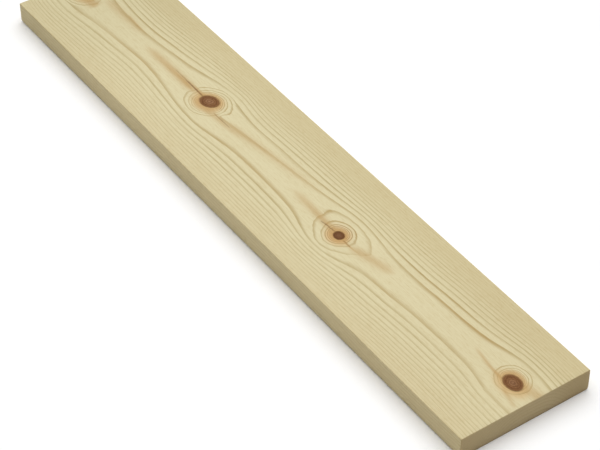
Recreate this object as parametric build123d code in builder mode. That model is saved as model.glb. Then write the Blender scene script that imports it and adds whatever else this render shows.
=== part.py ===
from build123d import *
import os

# A planed softwood plank, lying flat on its wide face.
# Frame: X runs along the grain, Y across the face, Z up through the thickness.
# The origin is on the underside, at the middle of the length and of the width.

# Driving dimensions in millimetres
length = 800.0  # end to end, along the grain
width = 150.0  # across the wide face
thickness = 25.0  # from the underside to the top face
arris_radius = 3.0  # rounding that the planer leaves on the four long edges
end_break = 0.8  # sanded break around each cross-cut end

# The plank is one piece of sawn timber. Its planed section, with four rounded
# long edges, runs unchanged from one cross-cut end to the other.
with BuildPart() as plank:
    with BuildSketch(Plane.YZ.offset(-length / 2)) as planed_section:
        with Locations((0, thickness / 2)):
            RectangleRounded(width, thickness, arris_radius)
    extrude(amount=length)

    # The saw leaves both ends square, and a light sanding breaks their outline.
    cross_cut_ends = plank.faces().filter_by(Axis.X)
    fillet(cross_cut_ends.edges(), radius=end_break)

plank.part.label = "plank"

os.makedirs("parts", exist_ok=True)
export_step(plank.part, "parts/plank.step")
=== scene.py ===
import math
from types import SimpleNamespace

import bmesh
import bpy
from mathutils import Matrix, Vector


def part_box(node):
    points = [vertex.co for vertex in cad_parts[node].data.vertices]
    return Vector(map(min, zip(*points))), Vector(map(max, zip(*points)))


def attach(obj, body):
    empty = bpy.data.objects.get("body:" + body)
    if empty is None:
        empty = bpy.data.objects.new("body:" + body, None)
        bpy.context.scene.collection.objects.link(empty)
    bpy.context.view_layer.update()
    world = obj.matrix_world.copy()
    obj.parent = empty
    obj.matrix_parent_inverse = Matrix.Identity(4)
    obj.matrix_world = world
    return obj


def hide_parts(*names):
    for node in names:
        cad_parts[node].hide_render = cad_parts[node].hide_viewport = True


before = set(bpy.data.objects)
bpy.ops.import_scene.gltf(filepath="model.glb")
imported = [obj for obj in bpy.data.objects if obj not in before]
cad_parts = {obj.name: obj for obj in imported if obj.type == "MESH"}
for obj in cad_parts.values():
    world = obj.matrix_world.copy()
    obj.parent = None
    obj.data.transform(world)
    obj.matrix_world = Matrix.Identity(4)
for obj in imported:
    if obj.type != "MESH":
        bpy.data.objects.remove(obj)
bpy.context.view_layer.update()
plankLow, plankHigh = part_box("plank")
print("frame loaded")

mm = 0.001


# Studio

studio = {
    "cameraPlace": (1.3085, -0.8798, 1.3613),
    "cameraTurn": (48.10, 0.035, 55.157),  # degrees about X, Y and Z
    "lens": 121.86,
    "sunFrom": (-0.22, 0.16, 1.0),
    "sunSpread": 90.0,  # degrees, wide for a soft edge
    "sunEnergy": 3.35,
    "skyColour": (1.0, 1.0, 1.0, 1.0),
    "skyStrength": 0.02,
    "floorSize": 40.0,
    "floorColour": (0.94, 0.94, 0.94, 1.0),
    "floorGlow": 0.042,  # keeps the sheet white where the light falls full on it
}


def makeStudio():
    bpy.ops.object.select_all(action="DESELECT")
    bpy.ops.object.camera_add(location=studio["cameraPlace"])
    camera = bpy.context.object
    camera.name = "photoCamera"
    camera.rotation_euler = [math.radians(angle) for angle in studio["cameraTurn"]]
    camera.data.lens = studio["lens"]
    camera.data.sensor_width = 36.0
    camera.data.clip_end = 100.0
    bpy.context.scene.camera = camera

    bpy.ops.object.light_add(type="SUN", location=(0, 0, 2))
    sun = bpy.context.object
    sun.name = "softSun"
    sun.rotation_mode = "QUATERNION"
    sun.rotation_quaternion = (-Vector(studio["sunFrom"])).to_track_quat("-Z", "Y")
    sun.data.angle = math.radians(studio["sunSpread"])
    sun.data.energy = studio["sunEnergy"]

    sky = bpy.data.worlds.new("studioSky")
    sky.use_nodes = True
    background = sky.node_tree.nodes["Background"]
    background.inputs["Color"].default_value = studio["skyColour"]
    background.inputs["Strength"].default_value = studio["skyStrength"]
    bpy.context.scene.world = sky

    bpy.ops.mesh.primitive_plane_add(size=studio["floorSize"], location=(0, 0, -0.1 * mm))
    floor = bpy.context.object
    floor.name = "floor"
    paper = bpy.data.materials.new("floorPaper")
    paper.use_nodes = True
    shader = paper.node_tree.nodes["Principled BSDF"]
    shader.inputs["Base Color"].default_value = studio["floorColour"]
    shader.inputs["Roughness"].default_value = 0.9
    shader.inputs["Specular IOR Level"].default_value = 0.0
    shader.inputs["Emission Color"].default_value = (1.0, 1.0, 1.0, 1.0)
    shader.inputs["Emission Strength"].default_value = studio["floorGlow"]
    floor.data.materials.append(paper)

    bpy.context.scene.view_settings.view_transform = "Standard"
    bpy.context.scene.view_settings.look = "None"


makeStudio()
print("studio made")


# Plank mesh

plankShape = {
    "topArris": 1.0 * mm,  # planed off less than the lower ones
    "lowArris": 3.0 * mm,
    "arrisSteps": 6,
    "endBreak": 0.8 * mm,
    "endSteps": 3,
    "stripWidth": 5.0 * mm,  # between the cuts along the length
    "stripLength": 10.0 * mm,  # between the cuts across it
    "weld": 0.01 * mm,  # shorter edges are closed up after the cuts
    "smoothAngle": 35.0,
}

# Where the knots are, in millimetres from the far end and from the middle line, half their
# length and width, how many degrees they are turned, how dark they are, and how strongly
# they colour the wood round them.
knots = {
    "farKnot": {"along": 24.0, "across": -6.0, "coreLong": 12.0, "coreWide": 9.0, "turn": 0,
                "dark": 0.1, "halo": 0.60},
    "wideKnot": {"along": 270.7, "across": 3.6, "coreLong": 12.0, "coreWide": 9.0, "turn": 18,
                 "dark": 0.0, "halo": 0.75},
    "smallKnot": {"along": 520.2, "across": -7.1, "coreLong": 6.4, "coreWide": 5.6, "turn": 0,
                  "dark": 0.55, "halo": 0.90},
    "nearKnot": {"along": 772.0, "across": 6.4, "coreLong": 11.5, "coreWide": 8.3, "turn": 0,
                 "dark": 0.1, "halo": 0.75},
}

branch = {
    "pithDepth": 60.0,  # the heart of the log lies this far under the top face
    "lean": 0.55,  # how far a branch moves along the plank for each millimetre of depth
    "seamRadius": 0.28,  # of the fine groove where a knot has shrunk from the wood round it
    "seamSteps": (72, 8),
}

# Drying checks that open out of the knots: both ends, how many short splits they
# break into, how far these step aside, their width and depth, and the half width and
# darkness of the brown line along them, part stain and part painted shade of the crack.
checks = {
    "wideKnotCrack": {"start": (202, 4.0), "end": (232, 3.4), "splits": 3, "step": 0.35,
                      "wide": 0.20, "deep": 0.6, "lineHalfWide": 0.5, "dark": 0.30},
    "wideKnotCheck": {"start": (224, 3.5), "end": (262, 2.6), "splits": 4, "step": 0.35,
                      "wide": 0.55, "deep": 1.6, "lineHalfWide": 0.8, "dark": 0.70},
    "wideKnotSplit": {"start": (288, -3.4), "end": (322, -3.0), "splits": 3, "step": 0.3,
                      "wide": 0.20, "deep": 0.6, "lineHalfWide": 0.5, "dark": 0.45},
    "smallKnotCheck": {"start": (491, -9.0), "end": (515, -6.8), "splits": 4, "step": 1.0,
                       "wide": 0.40, "deep": 1.2, "lineHalfWide": 0.6, "dark": 0.60},
    "smallKnotSplit": {"start": (528, -7.6), "end": (541, -8.0), "splits": 3, "step": 0.4,
                       "wide": 0.25, "deep": 0.8, "lineHalfWide": 0.4, "dark": 0.40},
}

splitShape = {
    "sides": 4,
    "floor": 0.15,  # how far a split narrows towards its bottom
    "fill": 0.75,  # half length of the cutter, as a share of the spacing
}


def pickEdges(piece, test):
    bpy.ops.mesh.select_mode(type="EDGE")
    bpy.ops.mesh.select_all(action="DESELECT")
    cage = bmesh.from_edit_mesh(piece.data)
    for edge in cage.edges:
        edge.select_set(test(edge.verts[0].co, edge.verts[1].co))
    cage.select_flush_mode()
    bmesh.update_edit_mesh(piece.data)


def makeBoard():
    size = plankHigh - plankLow
    middle = (plankHigh + plankLow) / 2
    bpy.ops.object.select_all(action="DESELECT")
    bpy.ops.mesh.primitive_cube_add(size=1.0, location=middle, scale=size)
    board = bpy.context.object
    board.name = "pinePlank"
    board.data.name = "pinePlank"
    bpy.ops.object.transform_apply(location=True, rotation=True, scale=True)

    bpy.ops.object.mode_set(mode="EDIT")
    for onTop, radius in ((True, plankShape["topArris"]), (False, plankShape["lowArris"])):
        pickEdges(board, lambda a, b: abs(a.x - b.x) > size.x / 2 and (a.z > middle.z) == onTop)
        bpy.ops.mesh.bevel(
            offset=radius, segments=plankShape["arrisSteps"],
            profile=0.5, affect="EDGES",
        )
    pickEdges(board, lambda a, b: abs(a.x - b.x) < 1e-6)
    bpy.ops.mesh.bevel(
        offset=plankShape["endBreak"], segments=plankShape["endSteps"],
        profile=0.5, affect="EDGES",
    )

    # even faces for the grooves to be cut from, with the cuts kept off the rounded edges
    for axis, step in ((1, plankShape["stripWidth"]), (0, plankShape["stripLength"])):
        normal = Vector((0, 0, 0))
        normal[axis] = 1.0
        cuts = round((size[axis] - 4 * plankShape["lowArris"]) / step)
        for count in range(cuts + 1):
            place = middle.copy()
            place[axis] += (count - cuts / 2) * step
            bpy.ops.mesh.select_all(action="SELECT")
            bpy.ops.mesh.bisect(plane_co=place, plane_no=normal)
    bpy.ops.mesh.select_all(action="SELECT")
    bpy.ops.mesh.normals_make_consistent(inside=False)
    bpy.ops.object.mode_set(mode="OBJECT")
    return board


def cutAway(board, cutter):
    bpy.ops.object.select_all(action="DESELECT")
    board.select_set(True)
    bpy.context.view_layer.objects.active = board
    carve = board.modifiers.new("carve", "BOOLEAN")
    carve.operation = "DIFFERENCE"
    carve.solver = "EXACT"
    carve.object = cutter
    bpy.ops.object.modifier_apply(modifier=carve.name)
    bpy.data.objects.remove(cutter)


def cutSeams(board):
    # a branch runs through the plank, so each knot shows on both faces
    thick = (plankHigh.z - plankLow.z) / mm
    for face, depth in ((plankHigh.z, 0.0), (plankLow.z, thick)):
        taper = 1.0 - depth / branch["pithDepth"]
        for knot in knots.values():
            along = plankLow.x + (knot["along"] - depth * branch["lean"]) * mm
            bpy.ops.object.select_all(action="DESELECT")
            bpy.ops.mesh.primitive_torus_add(
                location=(along, knot["across"] * mm, face),
                major_radius=knot["coreWide"] * taper * mm, minor_radius=branch["seamRadius"] * mm,
                major_segments=branch["seamSteps"][0], minor_segments=branch["seamSteps"][1],
            )
            ring = bpy.context.object
            ring.scale.x = knot["coreLong"] / knot["coreWide"]
            ring.rotation_euler.z = math.radians(knot["turn"])
            bpy.ops.object.transform_apply(location=True, rotation=True, scale=True)
            cutAway(board, ring)


def cutChecks(board):
    # each check is a row of short splits that step from side to side
    for check in checks.values():
        start, end = Vector(check["start"]), Vector(check["end"])
        run = end - start
        spacing = run.length / check["splits"]
        for count in range(check["splits"]):
            share = (count + 0.5) / check["splits"]
            aside = check["step"] * (1 if count % 2 else -1)
            spot = start + run * share
            bpy.ops.object.select_all(action="DESELECT")
            bpy.ops.mesh.primitive_cone_add(
                vertices=splitShape["sides"], radius1=splitShape["floor"], radius2=1.0, depth=2.0,
                location=(plankLow.x + spot.x * mm, (spot.y + aside / 2) * mm, plankHigh.z),
                rotation=(0, 0, run.angle_signed((1, 0))),
                scale=(splitShape["fill"] * spacing * mm, check["wide"] / 2 * mm, check["deep"] * mm),
            )
            split = bpy.context.object
            bpy.ops.object.transform_apply(location=True, rotation=True, scale=True)
            cutAway(board, split)


def makePlank():
    board = makeBoard()
    cutSeams(board)
    cutChecks(board)
    bpy.ops.object.select_all(action="DESELECT")
    board.select_set(True)
    bpy.context.view_layer.objects.active = board

    # the cuts leave tiny edges and many-sided faces, which are welded and split evenly
    bpy.ops.object.mode_set(mode="EDIT")
    bpy.ops.mesh.select_mode(type="FACE")
    bpy.ops.mesh.select_all(action="SELECT")
    bpy.ops.mesh.remove_doubles(threshold=plankShape["weld"])
    bpy.ops.mesh.select_all(action="DESELECT")
    bpy.ops.mesh.select_face_by_sides(number=4, type="GREATER", extend=False)
    bpy.ops.mesh.quads_convert_to_tris(quad_method="BEAUTY", ngon_method="BEAUTY")
    bpy.ops.object.mode_set(mode="OBJECT")
    bpy.ops.object.shade_smooth_by_angle(angle=math.radians(plankShape["smoothAngle"]))
    return board


plank = makePlank()
print("plank made:", len(plank.data.polygons), "faces")


# Pine

def tone(red, green, blue):
    # a colour as the eye dropper shows it, made linear
    steps = [value / 255 for value in (red, green, blue)]
    return tuple(v / 12.92 if v <= 0.04045 else ((v + 0.055) / 1.055) ** 2.4 for v in steps) + (1.0,)


class Wire:
    # a socket that can stand in a formula, where each sign adds a Math node
    def __init__(self, socket):
        self.socket = socket
        self.tree = socket.id_data

    def calc(self, operation, *others):
        return calc(self.tree, operation, self, *others)

    def __add__(self, other):
        return self.calc("ADD", other)

    def __sub__(self, other):
        return self.calc("SUBTRACT", other)

    def __mul__(self, other):
        return self.calc("MULTIPLY", other)

    def __truediv__(self, other):
        return self.calc("DIVIDE", other)

    def __rsub__(self, other):
        return calc(self.tree, "SUBTRACT", other, self)

    def __rtruediv__(self, other):
        return calc(self.tree, "DIVIDE", other, self)

    def __neg__(self):
        return self * -1.0

    __radd__ = __add__
    __rmul__ = __mul__


def feed(tree, value, socket):
    if isinstance(value, Wire):
        tree.links.new(value.socket, socket)
    else:
        socket.default_value = value


def calc(tree, operation, *values):
    node = tree.nodes.new("ShaderNodeMath")
    node.operation = operation
    for value, socket in zip(values, node.inputs):
        feed(tree, value, socket)
    return Wire(node.outputs[0])


def ramp(value, low, high, bottom=0.0, top=1.0):
    # a smooth step from bottom to top as value goes from low to high
    node = value.tree.nodes.new("ShaderNodeMapRange")
    node.interpolation_type = "SMOOTHSTEP"
    feed(value.tree, value, node.inputs["Value"])
    feed(value.tree, low, node.inputs["From Min"])
    feed(value.tree, high, node.inputs["From Max"])
    node.inputs["To Min"].default_value = bottom
    node.inputs["To Max"].default_value = top
    return Wire(node.outputs["Result"])


def bell(value, width):
    # 1 at zero, falling to nothing a few widths out
    ratio = value / width
    return (-(ratio * ratio)).calc("EXPONENT")


def mix(factor, first, second, way="MIX"):
    tree = factor.tree
    node = tree.nodes.new("ShaderNodeMix")
    node.data_type = "RGBA"
    node.blend_type = way
    feed(tree, factor, node.inputs[0])
    feed(tree, first, node.inputs[6])
    feed(tree, second, node.inputs[7])
    return Wire(node.outputs[2])


def join(tree, x, y, z):
    node = tree.nodes.new("ShaderNodeCombineXYZ")
    for value, socket in zip((x, y, z), node.inputs):
        feed(tree, value, socket)
    return Wire(node.outputs[0])


def noise(tree, x, y, z, detail=2.0, roughness=0.5):
    # noise about zero, from -0.5 to 0.5, its size set by how x, y and z are scaled
    node = tree.nodes.new("ShaderNodeTexNoise")
    feed(tree, join(tree, x, y, z), node.inputs["Vector"])
    node.inputs["Scale"].default_value = 1.0
    node.inputs["Detail"].default_value = detail
    node.inputs["Roughness"].default_value = roughness
    return Wire(node.outputs["Fac"]) - 0.5


def alongCurve(share, heights, low, high):
    # a smooth line through evenly spaced heights, share going from 0 to 1 along it
    node = share.tree.nodes.new("ShaderNodeFloatCurve")
    line = node.mapping.curves[0]
    for count, height in enumerate(heights):
        spot = (count / (len(heights) - 1), (height - low) / (high - low))
        if count in (0, len(heights) - 1):
            line.points[0 if count == 0 else len(line.points) - 1].location = spot
        else:
            line.points.new(*spot)
    node.mapping.update()
    feed(share.tree, share, node.inputs["Value"])
    return Wire(node.outputs["Value"]) * (high - low) + low


pineGrain = {
    "length": 800.0,
    "top": 25.0,
    "ringArea": 430.0,  # what a year adds to the square of the distance from the heart
    "ringAreaRight": 380.0,
    "ringAreaLeft": 465.0,
    "heartLine": (0.0, -4.0, 0.0, -3.0, -2.0, -1.5, 0.5, 4.5, 3.0),  # every 100 mm
    "heartRing": (0.6, 0.5, 0.45, 0.45, 0.35, 0.3, -0.2, -0.4, -0.6,  # every 50 mm
                  -0.7, -0.7, -0.65, -0.65, -0.6, -0.6, -0.7, -0.75),
    "linePhase": 0.19,  # puts the dark of each line on its whole number
    "wander": 0.9,
    "endCut": (0.4990, 0.4996),  # where the sawn end begins, as a share of the length from the middle
    "stainDepth": 18.0,  # stains and checks are gone this far under the top face
}

# Where in a year's growth the late wood starts, is darkest and stops, and what makes its
# line stronger or weaker.
lateLook = {
    "start": 0.48,
    "peak": 0.88,
    "stop": 0.99,
    "loopDelay": 0.10,  # starts this much later close round a knot
    "loopGain": 0.35,
    "patchGain": 1.6,
    "stainLoss": 0.45,  # along the ring that follows a stain
    "endLoss": 0.7,  # on the sawn ends
    "left": 0.74,
    "right": 0.86,
}

# How the rings of the plank and of each knot meet.
# swell: how the rings give way on either side (strength, reach towards the far end and
# towards the near end), how wide that is, and the notch that leaves the knot itself alone.
# loop: half width of the outermost loop, its ring, how many rings crowd inside it, and how
# it is stretched, tilted, bent aside and pinched at its far and near ends.
# fade: where the lines are lost (place from the knot, half length, half width and share).
knotGrain = {
    "farKnot": {
        "swellRight": (1.5, 49, 45), "swellLeft": (2.1, 49, 60), "swellWide": 60, "notch": 26,
        "middle": (0, 0), "loop": 21.0, "loopRing": 0.0, "crowd": 3.5, "stretch": 1.30,
        "tilt": 0, "bend": (0, 0), "pinch": (0.0, 0.0), "pinchWide": 5.0,
        "fade": (70, -16, 50, 8, 0.35),
    },
    "wideKnot": {
        "swellRight": (3.0, 58, 40), "swellLeft": (1.9, 58, 60), "swellWide": 52, "notch": 24,
        "middle": (1, -2.4), "loop": 23.5, "loopRing": 0.0, "crowd": 5.0, "stretch": 1.30,
        "tilt": 15, "bend": (0, 0), "pinch": (0.20, 0.20), "pinchWide": 4.0,
        "fade": (140, 11, 60, 8, 0.4), "spiral": 1,  # one ring more on one side than on the other
    },
    "smallKnot": {
        "swellRight": (2.5, 42, 42), "swellLeft": (3.9, 42, 42), "swellWide": 34, "notch": 22,
        "middle": (-1.7, 0.5), "loop": 22.8, "loopRing": -1.0, "crowd": 2.6, "stretch": 1.55,
        "tilt": 0, "bend": (4, 4), "pinch": (0.10, -0.14), "pinchWide": 7.0,
        "fade": (32, 4, 14, 14, 0.8),
    },
    "nearKnot": {
        "swellRight": (2.7, 47, 65), "swellLeft": (1.0, 22, 80), "swellWide": 45, "notch": 24,
        "middle": (-3, 2.6), "loop": 16.8, "loopRing": -1.0, "crowd": 4.2, "stretch": 1.25,
        "tilt": 0, "bend": (0, 0), "pinch": (0.10, 0.0), "pinchWide": 4.0,
        "fade": (5, -24, 24, 24, 0.4),
    },
}

knotLook = {
    "loopTint": 0.35,
    "loopRise": (8.0, 0.4),  # power and share, how fast the rings leave a knot beyond its loops
    "loopBlend": 0.6,  # how gently a knot's rings pass into the plank's
    "haloLeft": 12.0,  # how far the brown spreads on either side
    "haloRight": 8.0,
    "fray": 0.14,
    "years": 4.0,  # rings inside the knot
    "yearFray": 0.8,
    "heart": 0.75,
    "yearDark": 0.75,
    "speckDark": 0.6,
    "rimDark": 0.2,
}

# Resin stains that run out of the knots along the grain: both ends, the bow
# between them, and the half width and strength at each end.
streaks = {
    "farKnotTail": {"start": (30, -6.0), "end": (58, -8.0), "bow": 0.0,
                    "wide": (9.0, 6.0), "strong": (0.55, 0.65)},
    "farKnotVein": {"start": (84, 14.0), "end": (128, 11.5), "bow": -0.5,
                    "wide": (2.0, 2.0), "strong": (0.45, 0.45)},
    "farKnotRun": {"start": (40, 9.0), "end": (140, 9.0), "bow": 0.0,
                   "wide": (6.0, 5.0), "strong": (0.40, 0.20)},
    "wideKnotTail": {"start": (142, -0.5), "end": (260, 0.5), "bow": 0.6,
                     "wide": (4.8, 5.4), "strong": (0.40, 0.95)},
    "wideKnotRoot": {"start": (200, 3.0), "end": (272, 3.0), "bow": 0.4,
                     "wide": (2.4, 3.0), "strong": (0.55, 0.95)},
    "wideKnotFan": {"start": (270, -7.0), "end": (350, 0.0), "bow": -1.0,
                    "wide": (4.2, 3.6), "strong": (0.50, 0.38)},
    "wideKnotVein": {"start": (284, -2.6), "end": (322, -2.6), "bow": -1.2,
                     "wide": (1.2, 1.2), "strong": (0.80, 0.45)},
    "wideKnotRun": {"start": (290, -5.0), "end": (470, 16.5), "bow": 1.0,
                    "wide": (5.0, 5.5), "strong": (0.50, 0.15)},
    "smallKnotTail": {"start": (432, -4.0), "end": (522, -7.5), "bow": 0.0,
                      "wide": (5.0, 4.5), "strong": (0.28, 0.80)},
    "smallKnotVein": {"start": (522, -7.4), "end": (562, -4.6), "bow": -1.8,
                      "wide": (1.4, 1.6), "strong": (0.80, 0.55)},
    "smallKnotRun": {"start": (534, -9.0), "end": (600, 4.5), "bow": 0.8,
                     "wide": (5.5, 6.0), "strong": (0.55, 0.40)},
    "nearKnotTail": {"start": (712, 8.5), "end": (768, 1.4), "bow": -2.0,
                     "wide": (2.2, 1.6), "strong": (0.25, 0.85)},
    "nearKnotSpot": {"start": (768, -4.5), "end": (800, -12.0), "bow": 0.0,
                     "wide": (2.2, 2.2), "strong": (0.45, 0.30)},
    "nearKnotFan": {"start": (776, 12.0), "end": (808, 15.0), "bow": 0.0,
                    "wide": (6.0, 7.0), "strong": (0.40, 0.60)},
}

# A ring line that follows the stain out of the wide knot
stainRing = {"streak": "wideKnotRun", "lift": 0.42, "above": 5.5, "wide": 7.0}

pineColours = {
    "early": tone(221, 211, 172),
    "right": tone(211, 198, 156),
    "left": tone(217, 205, 165),
    "late": tone(179, 163, 114),
    "lateWarm": tone(186, 160, 107),
    "halo": tone(209, 170, 111),
    "loop": tone(150, 108, 60),
    "streak": tone(189, 153, 95),
    # brown along the checks, part stain and part painted shade of the crack
    "check": tone(118, 82, 48),
    "core": tone(142, 98, 56),
    "coreHeart": tone(172, 130, 94),
    "coreRim": tone(98, 58, 22),
    "fibre": (0.90, 0.87, 0.81, 1.0),
    "fleck": (0.84, 0.77, 0.66, 1.0),
    "farEnd": (0.92, 0.92, 0.90, 1.0),
    "nearEnd": (0.97, 0.96, 0.95, 1.0),
    # painted warm tint of the shade on the long sides
    "edge": (1.02, 0.99, 0.94, 1.0),
    "endGrain": (0.75, 0.67, 0.59, 1.0),
    # painted shade on the lower edges and the underside, darker towards the floor
    "paintedLowShade": (0.84, 0.84, 0.84, 1.0),
}

pineFinish = {
    "bumpStrength": 0.25,
    "bumpHeight": 0.15 * mm,  # hard late wood stands a hair proud of the planed face
    "fibreBump": 0.8,
    "roughEarly": 0.62,
    "roughLate": 0.50,
    "specular": 0.18,
}


def blend(weight, first, second):
    # first where the weight is 0, second where it is 1
    return weight * (second - first) + first


def length(x, y):
    return (x * x + y * y).calc("SQRT")


def turned(x, y, degrees):
    # the same spot, measured along and across an axis that is turned this far
    angle = math.radians(degrees)
    return x * math.cos(angle) + y * math.sin(angle), y * math.cos(angle) - x * math.sin(angle)


def knotSwell(dx, dy, grain):
    # how many rings the plank's own give way by
    onRight, ahead = ramp(dy, -6.0, 6.0), ramp(dx, -10.0, 10.0)
    strongRight, backRight, aheadRight = grain["swellRight"]
    strongLeft, backLeft, aheadLeft = grain["swellLeft"]
    strong = blend(onRight, strongLeft, strongRight)
    reach = blend(ahead, blend(onRight, backLeft, backRight), blend(onRight, aheadLeft, aheadRight))
    return strong * bell(dx, reach) * bell(dy, grain["swellWide"]) * (1.0 - bell(dy, grain["notch"]))


def knotLoop(dx, dy, grain, ruffle):
    # distance from the knot, 1 on its outermost loop
    farOut = dx / 30.0
    distance = length(dx, dy)
    bent = dy - ramp(dx, -10.0, 10.0, *grain["bend"]) * farOut * farOut
    longWay, wideWay = turned(dx, bent, grain["tilt"])
    radius = length(longWay / ramp(distance, 14.0, 34.0, 1.1, grain["stretch"]), wideWay)
    pinch = bell(bent, grain["pinchWide"]) * ramp(dx, -8.0, 8.0, *grain["pinch"])
    pinch = pinch * ramp(distance, 20.0, 34.0)
    return radius * (pinch + 1.0 + ruffle * 0.12) / grain["loop"] + 0.001


def streakLine(along, streak):
    # how far along a stain, 0 to 1, how far from both its ends, and where its middle is
    (x0, y0), (x1, y1) = streak["start"], streak["end"]
    part = (along - x0) / (x1 - x0)
    part.socket.node.use_clamp = True
    run = part * (1.0 - part) * 4.0
    return part, run, part * (y1 - y0) + run * streak.get("bow", 0.0) + y0


def strongest(wires):
    best = wires[0]
    for wire in wires[1:]:
        best = best.calc("MAXIMUM", wire)
    return best


def readPlace(tree):
    # where a point lies in the plank, in millimetres, with the slow noise that all steps share
    where = tree.nodes.new("ShaderNodeTexCoord")
    split = tree.nodes.new("ShaderNodeSeparateXYZ")
    tree.links.new(where.outputs["Object"], split.inputs[0])
    along, side, height = (Wire(split.outputs[i]) * 1000.0 for i in range(3))
    along = along + pineGrain["length"] / 2
    share = along / pineGrain["length"]
    depth = pineGrain["top"] - height
    wander = noise(tree, along * 0.03, side * 0.06, height * 0.06)
    across = side + wander * pineGrain["wander"]  # so that no ring runs dead true
    return SimpleNamespace(
        tree=tree, along=along, side=side, height=height, share=share, depth=depth, across=across,
        nearTop=ramp(depth, 0.0, pineGrain["stainDepth"], 1.0, 0.0),
        endGrain=ramp((share - 0.5).calc("ABSOLUTE"), *pineGrain["endCut"]),
        fray=noise(tree, along * 0.35, across * 0.35, height * 0.05, 3.0),
        patch=noise(tree, along * 0.008, across * 0.10, height * 0.10),
    )


def growRings(at):
    # counts the rings from the heart of the log to a point, and bends them round the knots
    heartLine = alongCurve(at.share, pineGrain["heartLine"], -10.0, 10.0)
    heartRing = alongCurve(at.share, pineGrain["heartRing"], -1.5, 1.5)
    offHeart = at.across - heartLine
    onRight = offHeart.calc("GREATER_THAN", 0.0)
    area = blend(onRight, pineGrain["ringAreaLeft"], pineGrain["ringAreaRight"])
    rings = offHeart * offHeart / area + heartRing

    part, run, line = streakLine(at.along, streaks[stainRing["streak"]])
    lift = bell(at.across - line - stainRing["above"], stainRing["wide"]) * ramp(part, 0.6, 1.0, 1.0, 0.0)
    rings = rings + lift * ramp(run, 0.0, 0.2) * stainRing["lift"]

    taper = 1.0 - at.depth / branch["pithDepth"]
    ruffle = noise(at.tree, at.along * 0.10, at.across * 0.12, at.height * 0.04)
    power, rise = knotLook["loopRise"]
    cores, halos, shells, insides, losts, spirals = {}, [], [], [], [], []
    for name, grain in knotGrain.items():
        knot = knots[name]
        dx = at.along - knot["along"] + at.depth * branch["lean"]
        dy = at.across - knot["across"]
        coreX, coreY = turned(dx, dy, knot["turn"])
        cores[name] = length(coreX / knot["coreLong"], coreY / knot["coreWide"]) / taper
        beyond = (cores[name] - 1.0 + at.fray * knotLook["fray"]) * knot["coreWide"]
        reach = ramp(dy, -6.0, 6.0, knotLook["haloLeft"], knotLook["haloRight"])
        halos.append(ramp(beyond, 0.0, reach, knot["halo"], 0.0))

        loopX, loopY = dx - grain["middle"][0], dy - grain["middle"][1]
        rings = rings - knotSwell(loopX, dy, grain)
        out = knotLoop(loopX, loopY, grain, ruffle) / taper
        past = out.calc("MAXIMUM", 1.0).calc("POWER", power) - 1.0
        shells.append((1.0 - 1.0 / out) * grain["crowd"] + past * rise + grain["loopRing"])
        insides.append(ramp(out, 0.40, 0.80, 1.0, 0.0))
        fadeX, fadeY, fadeLong, fadeWide, fadeShare = grain["fade"]
        losts.append(bell(dx - fadeX, fadeLong) * bell(dy - fadeY, fadeWide) * fadeShare)
        if "spiral" in grain:
            spirals.append(dy.calc("ARCTAN2", -loopX) * (grain["spiral"] / math.pi))
    for shell in shells:
        rings = rings.calc("SMOOTH_MIN", shell, knotLook["loopBlend"])
    for spiral in spirals:
        rings = rings - spiral

    # the rings close round the heart below, so there are fewer under the face
    fewer = at.depth * at.depth - at.depth * (2 * branch["pithDepth"])
    return SimpleNamespace(
        count=rings + fewer / pineGrain["ringArea"], offHeart=offHeart, offMiddle=offHeart.calc("ABSOLUTE"),
        lift=lift, cores=cores, halos=halos, inside=strongest(insides), lost=strongest(losts),
    )


def lateWood(at, grow):
    # how strongly the late wood of a year shows at a point
    ring = (grow.count - pineGrain["linePhase"]).calc("FRACT")
    begin = grow.inside * lateLook["loopDelay"] + lateLook["start"]
    late = ramp(ring, begin, lateLook["peak"]) * ramp(ring, lateLook["peak"], lateLook["stop"], 1.0, 0.0)
    fade = ramp(grow.offMiddle, 16.0, 50.0, 1.0, 0.6) * ramp(at.across, 46.0, 60.0, 1.0, 0.4)
    fade = fade * ramp(at.across, -58.0, -72.0, 1.0, 0.55) * (1.0 - at.endGrain * lateLook["endLoss"])
    gain = (grow.inside * lateLook["loopGain"] + 1.0) * (at.patch * lateLook["patchGain"] + 1.0)
    gain = gain * ramp(grow.offHeart, -8.0, 8.0, lateLook["left"], lateLook["right"])
    return late * fade * gain * (1.0 - grow.lost) * (1.0 - grow.lift * lateLook["stainLoss"])


def paintRings(at, grow, late):
    # pale middle, darker towards both edges, brown round the knots
    colour = mix(ramp(at.across, 22.0, 66.0), pineColours["early"], pineColours["right"])
    colour = mix(ramp(at.across, -35.0, -72.0), colour, pineColours["left"])
    warm = ramp(grow.offMiddle, 14.0, 34.0, 1.0, 0.0) * (at.patch * 1.4 + 0.6)
    lateColour = mix(warm, pineColours["late"], pineColours["lateWarm"])
    lateColour = mix(grow.inside, lateColour, pineColours["loop"])
    for halo in [grow.inside * knotLook["loopTint"]] + grow.halos:
        colour = mix(halo, colour, pineColours["halo"])
    return mix(late, colour, lateColour)


def paintStains(at, colour):
    # each stain tapers at both ends and stops at the sawn end
    bodies = []
    for streak in streaks.values():
        part, run, line = streakLine(at.along, streak)
        wide = blend(part, *streak["wide"]) * ramp(run, 0.0, 0.7, 0.35, 1.0)
        bodies.append(bell(at.across - line, wide) * ramp(run, 0.0, 0.8) * blend(part, *streak["strong"]))
    return mix(strongest(bodies) * at.nearTop * (1.0 - at.endGrain), colour, pineColours["streak"])


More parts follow.
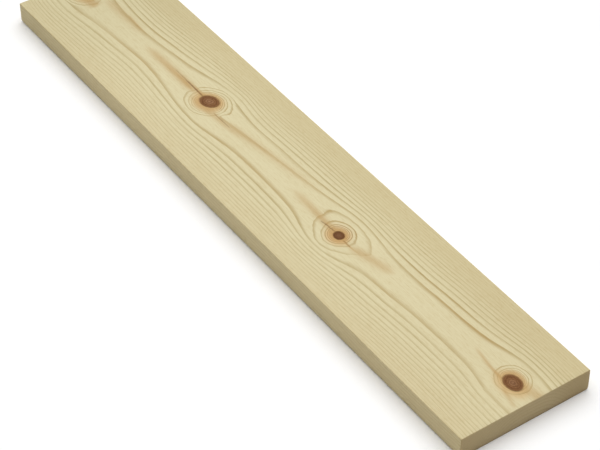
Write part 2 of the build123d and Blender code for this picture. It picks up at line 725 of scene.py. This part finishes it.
def paintKnots(at, grow, colour):
    # brown cores with a paler heart, fine rings and specks, darkest at the rim
    speck = noise(at.tree, at.along * 0.9, at.across * 0.9, at.height * 0.1, 2.0)
    for name, core in grow.cores.items():
        dark = knots[name]["dark"]
        edge = core + at.fray * knotLook["fray"]
        year = (edge * knotLook["years"] + at.fray * knotLook["yearFray"]).calc("FRACT")
        heart = ramp(edge, 0.10, 0.70, knotLook["heart"], 0.0)
        wood = mix(heart, pineColours["core"], pineColours["coreHeart"])
        for rim in (
            ramp(year, 0.2, 1.0, 0.0, knotLook["yearDark"]),
            ramp(speck, -0.1, 0.3, 0.0, knotLook["speckDark"]),
            ramp(edge, 0.3, 0.9, dark, dark + knotLook["rimDark"]),
        ):
            wood = mix(rim, wood, pineColours["coreRim"])
        colour = mix(ramp(edge, 0.84, 1.16, 1.0, 0.0), colour, wood)
    return colour


def paintChecks(at, colour):
    # a brown line along each check, part stain and part painted shade of the crack
    crackStainAndShade = []
    for check in checks.values():
        part, run, line = streakLine(at.along, check)
        body = bell(at.across - line + at.fray * 3.0 * check["step"], check["lineHalfWide"])
        crackStainAndShade.append(body * ramp(run, 0.0, 0.7) * check["dark"])
    return mix(strongest(crackStainAndShade) * at.nearTop, colour, pineColours["check"])


def paintFibres(at, fibre, colour):
    # fine fibres along the grain, and resin ducts as short flecks
    fleck = noise(at.tree, at.along * 0.16, at.across * 1.3, at.height * 1.3, 2.0)
    colour = mix(ramp(fibre, -0.25, 0.25, 0.0, 0.75), colour, pineColours["fibre"], "MULTIPLY")
    return mix(ramp(fleck, -0.05, 0.30, 0.0, 0.6), colour, pineColours["fleck"], "MULTIPLY")


def paintEdges(at, colour):
    # sawn ends drink in more and look darker, the long sides get a painted warm tint of their shade, and
    # the lower edges and the underside are darkened with painted shade
    shares = {
        "farEnd": ramp(at.along, 220.0, 30.0),
        "nearEnd": ramp(at.along, 540.0, 740.0),
        # painted warm tint of the shade on the long sides
        "edge": ramp(at.side.calc("ABSOLUTE"), 73.0, 75.0),
        "endGrain": at.endGrain,
        # painted shade: the underside and the lowest 5 mm of the sides are darkened
        "paintedLowShade": ramp(at.height, 0.5, 5.0, 1.0, 0.0),
    }
    for name, share in shares.items():
        colour = mix(share, colour, pineColours[name], "MULTIPLY")
    return colour


def makePine():
    pine = bpy.data.materials.new("pine")
    pine.use_nodes = True
    tree = pine.node_tree
    shader = tree.nodes["Principled BSDF"]

    at = readPlace(tree)
    grow = growRings(at)
    late = lateWood(at, grow)
    fibre = noise(tree, at.along * 0.02, at.across * 1.3, at.height * 1.3, 3.0, 0.65)
    colour = paintRings(at, grow, late)
    colour = paintStains(at, colour)
    colour = paintKnots(at, grow, colour)
    colour = paintChecks(at, colour)
    colour = paintFibres(at, fibre, colour)
    feed(tree, paintEdges(at, colour), shader.inputs["Base Color"])

    rough = ramp(late, 0.0, 1.0, pineFinish["roughEarly"], pineFinish["roughLate"])
    feed(tree, rough, shader.inputs["Roughness"])
    shader.inputs["Specular IOR Level"].default_value = pineFinish["specular"]

    bump = tree.nodes.new("ShaderNodeBump")
    bump.inputs["Strength"].default_value = pineFinish["bumpStrength"]
    bump.inputs["Distance"].default_value = pineFinish["bumpHeight"]
    feed(tree, late + fibre * pineFinish["fibreBump"], bump.inputs["Height"])
    tree.links.new(bump.outputs["Normal"], shader.inputs["Normal"])
    return pine


plank.data.materials.append(makePine())
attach(plank, "root")
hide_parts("plank")
print("pine laid on")
